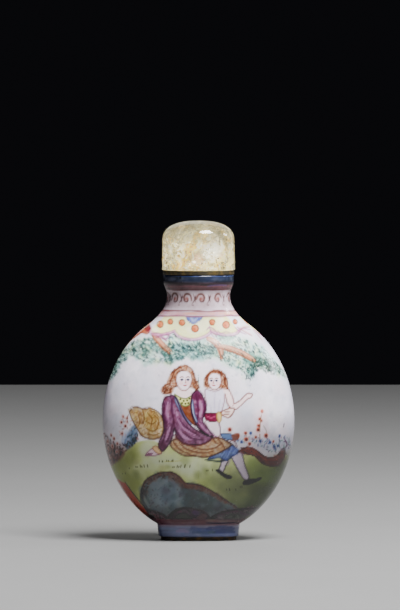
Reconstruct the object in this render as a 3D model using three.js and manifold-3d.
// A flattened, egg-shaped snuff bottle of painted enamel on thin copper, with a rock crystal stopper.
// Millimetres, +Z up, the origin on the table under the middle of the foot, the painted front facing -Y.
// The bottle is one hollow shell: an oval foot, a body like a pressed egg, and a round neck with a lip.
// The stopper is a crystal dome on a gilt collar, with a cork that goes down the neck.

import * as THREE from 'three';
import { mergeVertices } from 'three/addons/utils/BufferGeometryUtils.js';
import Module from 'manifold-3d';

const wasm = await Module();
wasm.setup();

// Body: half of its width, depth and height as a whole egg, before the foot and neck cut it
const bodyHalfWidth = 16.9;
const bodyHalfDepth = 9.8;
const bodyHalfHeight = 20;
const wall = 1.3;

// Foot: an oval ring, a little narrower below, on a gilt edge that is stepped in
const footHeight = 2.9;
const footHalfWidth = 7.3;
const footTaper = 0.35;
const footEdgeHeight = 0.7;
const footEdgeStep = 0.3;
const footRingWidth = 1.3;
const footSquareness = 3.2; // exponent of the oval: 2 is an ellipse, and more is squarer
const squareFadeHeight = 6; // the body's section turns from the foot's to an ellipse over this height

// Neck and lip
const neckRadius = 5.55;
const neckLength = 0.27; // the straight part, from the shoulder to the lip's cove
const shoulderShare = 0.3; // where the shoulder starts to turn up, as a share of body less neck
const lipRadius = 6.2;
const lipHeight = 1.1;
const coveHeight = 2.4; // the sweep from the neck out to the lip

// Stopper
const seatGap = 0.05; // between pieces that rest on each other
const collarOverhang = 0.1; // past the lip, all round
const collarThickness = 0.75;
const collarRound = 0.12;
const domeOverhang = 0.25;
const domeTaper = 0.07;
const domeWallHeight = 5.2;
const domeCrownHeight = 3.5;
const domeSquareness = 2.4;
const domeFootRound = 0.15;
const corkClearance = 0.12;
const corkTaper = 0.25;
const corkLength = 5;
const corkChamfer = 0.4;

// Facets
const bodySegments = 64;
const stopperSegments = 48;
const bodyRows = 15;
const shoulderRows = 6;
const coveRows = 6;
const crownRows = 10;

// Worked out from the sizes above
const boreRadius = neckRadius - wall;
const footRatio = footHalfWidth / bodyHalfWidth;
const bodyCentreZ = footHeight + bodyHalfHeight * Math.sqrt(1 - footRatio ** 2);
const shoulderTop = Math.max(shoulderOf(bodyHalfWidth, 0).top, shoulderOf(bodyHalfDepth, 0).top);
const coveBottom = shoulderTop + neckLength;
const lipBottom = coveBottom + coveHeight;
const bottleHeight = lipBottom + lipHeight;
const corkTop = bottleHeight;
const collarBottom = bottleHeight + seatGap;
const domeBottom = collarBottom + collarThickness + seatGap;
const collarRadius = lipRadius + collarOverhang;
const domeRadius = lipRadius + domeOverhang;
const cutOver = 1; // how far a cutting shape runs past the face that it opens
const onAxis = 1e-9; // a point nearer to the axis than this is on it

// Half of the body's egg at height z, taken in by inset, on the side whose full half size is given
function eggHalf(z, half, inset) {
  const up = (z - bodyCentreZ) / (bodyHalfHeight - inset);
  return (half - inset) * Math.sqrt(Math.max(0, 1 - up * up));
}

// The shoulder turns from the egg up into the neck along a parabola. Returns where it starts and ends.
function shoulderOf(half, inset) {
  const neck = neckRadius - inset;
  const rise = shoulderShare * (half - neckRadius);
  const egg = half - inset;
  const tall = bodyHalfHeight - inset;
  const up = tall * Math.sqrt(1 - ((neck + rise) / egg) ** 2);
  const slope = (egg / tall) ** 2 * (up / (neck + rise));
  const bottom = bodyCentreZ + up;
  return { bottom, top: bottom + (2 * rise) / slope, rise, neck };
}

// Half of the body's width or depth at height z, from the foot to the neck, without the lip
function bodyHalf(z, half, inset) {
  const shoulder = shoulderOf(half, inset);
  if (z <= shoulder.bottom) return eggHalf(z, half, inset);
  const left = Math.max(0, (shoulder.top - z) / (shoulder.top - shoulder.bottom));
  return shoulder.neck + shoulder.rise * left * left;
}

// How far the lip's cove stands out of the neck at height z
function lipFlare(z) {
  return (lipRadius - neckRadius) * THREE.MathUtils.smoothstep(z, coveBottom, lipBottom);
}

// How far the foot is taken in at height z, below the height where it meets the body
function footInset(z) {
  return footTaper * (1 - z / footHeight) + (z < footEdgeHeight ? footEdgeStep : 0);
}

// Exponent of the oval section at height z
function squareness(z) {
  const fade = THREE.MathUtils.smoothstep(z, footHeight, footHeight + squareFadeHeight);
  return THREE.MathUtils.lerp(footSquareness, 2, fade);
}

const footHalfDepth = bodyHalf(footHeight, bodyHalfDepth, 0);

// Heights from low to high with even steps round an arc, so that rows crowd where the outline turns
function archedHeights(low, high, centre, tall, rows) {
  const from = Math.asin(THREE.MathUtils.clamp((low - centre) / tall, -1, 1));
  const to = Math.asin(THREE.MathUtils.clamp((high - centre) / tall, -1, 1));
  return Array.from({ length: rows + 1 }, (_, i) => centre + tall * Math.sin(from + ((to - from) * i) / rows));
}

function evenHeights(low, high, rows) {
  return Array.from({ length: rows + 1 }, (_, i) => low + ((high - low) * i) / rows);
}

// Turns a profile of [radius, height] points round Z, closed on the axis at both ends
function turned(profile, segments) {
  const points = profile.map(([r, z]) => new THREE.Vector2(r, z));
  const lathe = new THREE.LatheGeometry(points, segments);
  lathe.rotateX(Math.PI / 2);
  lathe.deleteAttribute('normal');
  lathe.deleteAttribute('uv');
  return mergeVertices(lathe, 1e-5);
}

// Presses a turned shape into ovals: sectionAt(z) gives a height's half width, half depth and exponent
function pressed(geometry, sectionAt) {
  const position = geometry.attributes.position;
  for (let i = 0; i < position.count; i += 1) {
    const [x, y, z] = [position.getX(i), position.getY(i), position.getZ(i)];
    const radius = Math.hypot(x, y);
    if (radius < onAxis) continue;
    const { width, depth, power } = sectionAt(z, radius);
    const bend = (value) => Math.sign(value) * Math.abs(value) ** (2 / power);
    position.setXY(i, width * bend(x / radius), depth * bend(y / radius));
  }
  return geometry;
}

function solidOf(geometry) {
  const mesh = new wasm.Mesh({
    numProp: 3,
    vertProperties: new Float32Array(geometry.attributes.position.array),
    triVerts: new Uint32Array(geometry.index.array),
  });
  mesh.merge();
  return new wasm.Manifold(mesh);
}

function geometryOf(solid) {
  const mesh = solid.getMesh();
  const geometry = new THREE.BufferGeometry();
  geometry.setAttribute('position', new THREE.BufferAttribute(mesh.vertProperties, 3));
  geometry.setIndex(new THREE.BufferAttribute(mesh.triVerts, 1));
  geometry.computeVertexNormals();
  return geometry;
}

// The bottle's outside as one full shape: gilt foot edge, foot, body, shoulder, neck, cove and lip
function bottleOutside() {
  const wide = shoulderOf(bodyHalfWidth, 0);
  const heights = [
    ...archedHeights(footHeight, wide.bottom, bodyCentreZ, bodyHalfHeight, bodyRows),
    ...evenHeights(wide.bottom, wide.top, shoulderRows).slice(1),
    ...evenHeights(coveBottom, lipBottom, coveRows),
    bottleHeight,
  ];
  const depthOf = (z) => bodyHalf(z, bodyHalfDepth, 0) + lipFlare(z);
  const widthOf = (z) => bodyHalf(z, bodyHalfWidth, 0) + lipFlare(z);
  const edge = footInset(0);
  const profile = [
    [0, 0],
    [footHalfWidth - edge, 0],
    [footHalfWidth - edge, footEdgeHeight],
    [footHalfWidth - footInset(footEdgeHeight), footEdgeHeight],
    ...heights.map((z) => [widthOf(z), z]),
    [0, bottleHeight],
  ];
  const section = (z, radius) => {
    if (z < footHeight) {
      const depth = radius - footHalfWidth + footHalfDepth;
      return { width: radius, depth, power: footSquareness };
    }
    return { width: radius, depth: radius * (depthOf(z) / widthOf(z)), power: squareness(z) };
  };
  return pressed(turned(profile, bodySegments), section);
}

// The hollow inside, one wall in from the outside, running out through the mouth
function bottleInside() {
  const wide = shoulderOf(bodyHalfWidth, wall);
  const low = bodyCentreZ - (bodyHalfHeight - wall);
  const heights = [
    ...archedHeights(low, wide.bottom, bodyCentreZ, bodyHalfHeight - wall, bodyRows).slice(1),
    ...evenHeights(wide.bottom, wide.top, shoulderRows).slice(1),
    bottleHeight + cutOver,
  ];
  const profile = [[0, low], ...heights.map((z) => [bodyHalf(z, bodyHalfWidth, wall), z]), [0, bottleHeight + cutOver]];
  const section = (z, radius) => {
    const share = bodyHalf(z, bodyHalfDepth, wall) / bodyHalf(z, bodyHalfWidth, wall);
    return { width: radius, depth: radius * share, power: squareness(z) };
  };
  return pressed(turned(profile, bodySegments), section);
}

// The hollow under the base, inside the foot ring, up to the underside of the body
function footHollow() {
  const inset = footInset(0) + footRingWidth;
  const halfWidth = footHalfWidth - inset;
  const top = bodyCentreZ - bodyHalfHeight;
  const profile = [[0, -cutOver], [halfWidth, -cutOver], [halfWidth, top], [0, top]];
  const section = (z, radius) => ({ width: radius, depth: footHalfDepth - inset, power: footSquareness });
  return pressed(turned(profile, bodySegments), section);
}

function bottleGeometry() {
  const shell = solidOf(bottleOutside()).subtract(solidOf(bottleInside()));
  return geometryOf(shell.subtract(solidOf(footHollow())));
}

// A flat disc with both rims eased, resting on the lip
function collarGeometry() {
  const top = collarBottom + collarThickness;
  return turned([
    [0, collarBottom],
    [collarRadius - collarRound, collarBottom],
    [collarRadius, collarBottom + collarRound],
    [collarRadius, top - collarRound],
    [collarRadius - collarRound, top],
    [0, top],
  ], stopperSegments);
}

// Near-upright sides under a flattened crown, whose outline is a quarter of a squared ellipse
function domeGeometry() {
  const crownBottom = domeBottom + domeWallHeight;
  const crownRadius = domeRadius - domeTaper;
  const crown = Array.from({ length: crownRows }, (_, i) => {
    const turn = ((i + 1) / crownRows) * (Math.PI / 2);
    const out = Math.cos(turn) ** (2 / domeSquareness);
    const up = Math.sin(turn) ** (2 / domeSquareness);
    return [i + 1 === crownRows ? 0 : crownRadius * out, crownBottom + domeCrownHeight * up];
  });
  return turned([
    [0, domeBottom],
    [domeRadius - domeFootRound, domeBottom],
    [domeRadius, domeBottom + domeFootRound],
    [crownRadius, crownBottom],
    ...crown,
  ], stopperSegments);
}

// A tapered plug, eased at its lower end, that hangs from the collar inside the neck
function corkGeometry() {
  const top = boreRadius - corkClearance;
  const bottom = top - corkTaper;
  return turned([
    [0, corkTop - corkLength],
    [bottom - corkChamfer, corkTop - corkLength],
    [bottom, corkTop - corkLength + corkChamfer],
    [top, corkTop],
    [0, corkTop],
  ], stopperSegments);
}

function part(name, geometry, look) {
  const mesh = new THREE.Mesh(geometry, new THREE.MeshStandardMaterial(look));
  mesh.name = name;
  return mesh;
}

const snuffBottle = new THREE.Group();
snuffBottle.add(part('bottle', bottleGeometry(), { color: 0xe6e2e4, roughness: 0.22, metalness: 0 }));

const stopper = new THREE.Group();
stopper.add(part('stopper_dome', domeGeometry(), { color: 0xe4dcb8, roughness: 0.08, metalness: 0 }));
stopper.add(part('stopper_collar', collarGeometry(), { color: 0x9c7a3c, roughness: 0.35, metalness: 1 }));
stopper.add(part('stopper_cork', corkGeometry(), { color: 0xa77f52, roughness: 0.9, metalness: 0 }));
snuffBottle.add(stopper);

export default snuffBottle;
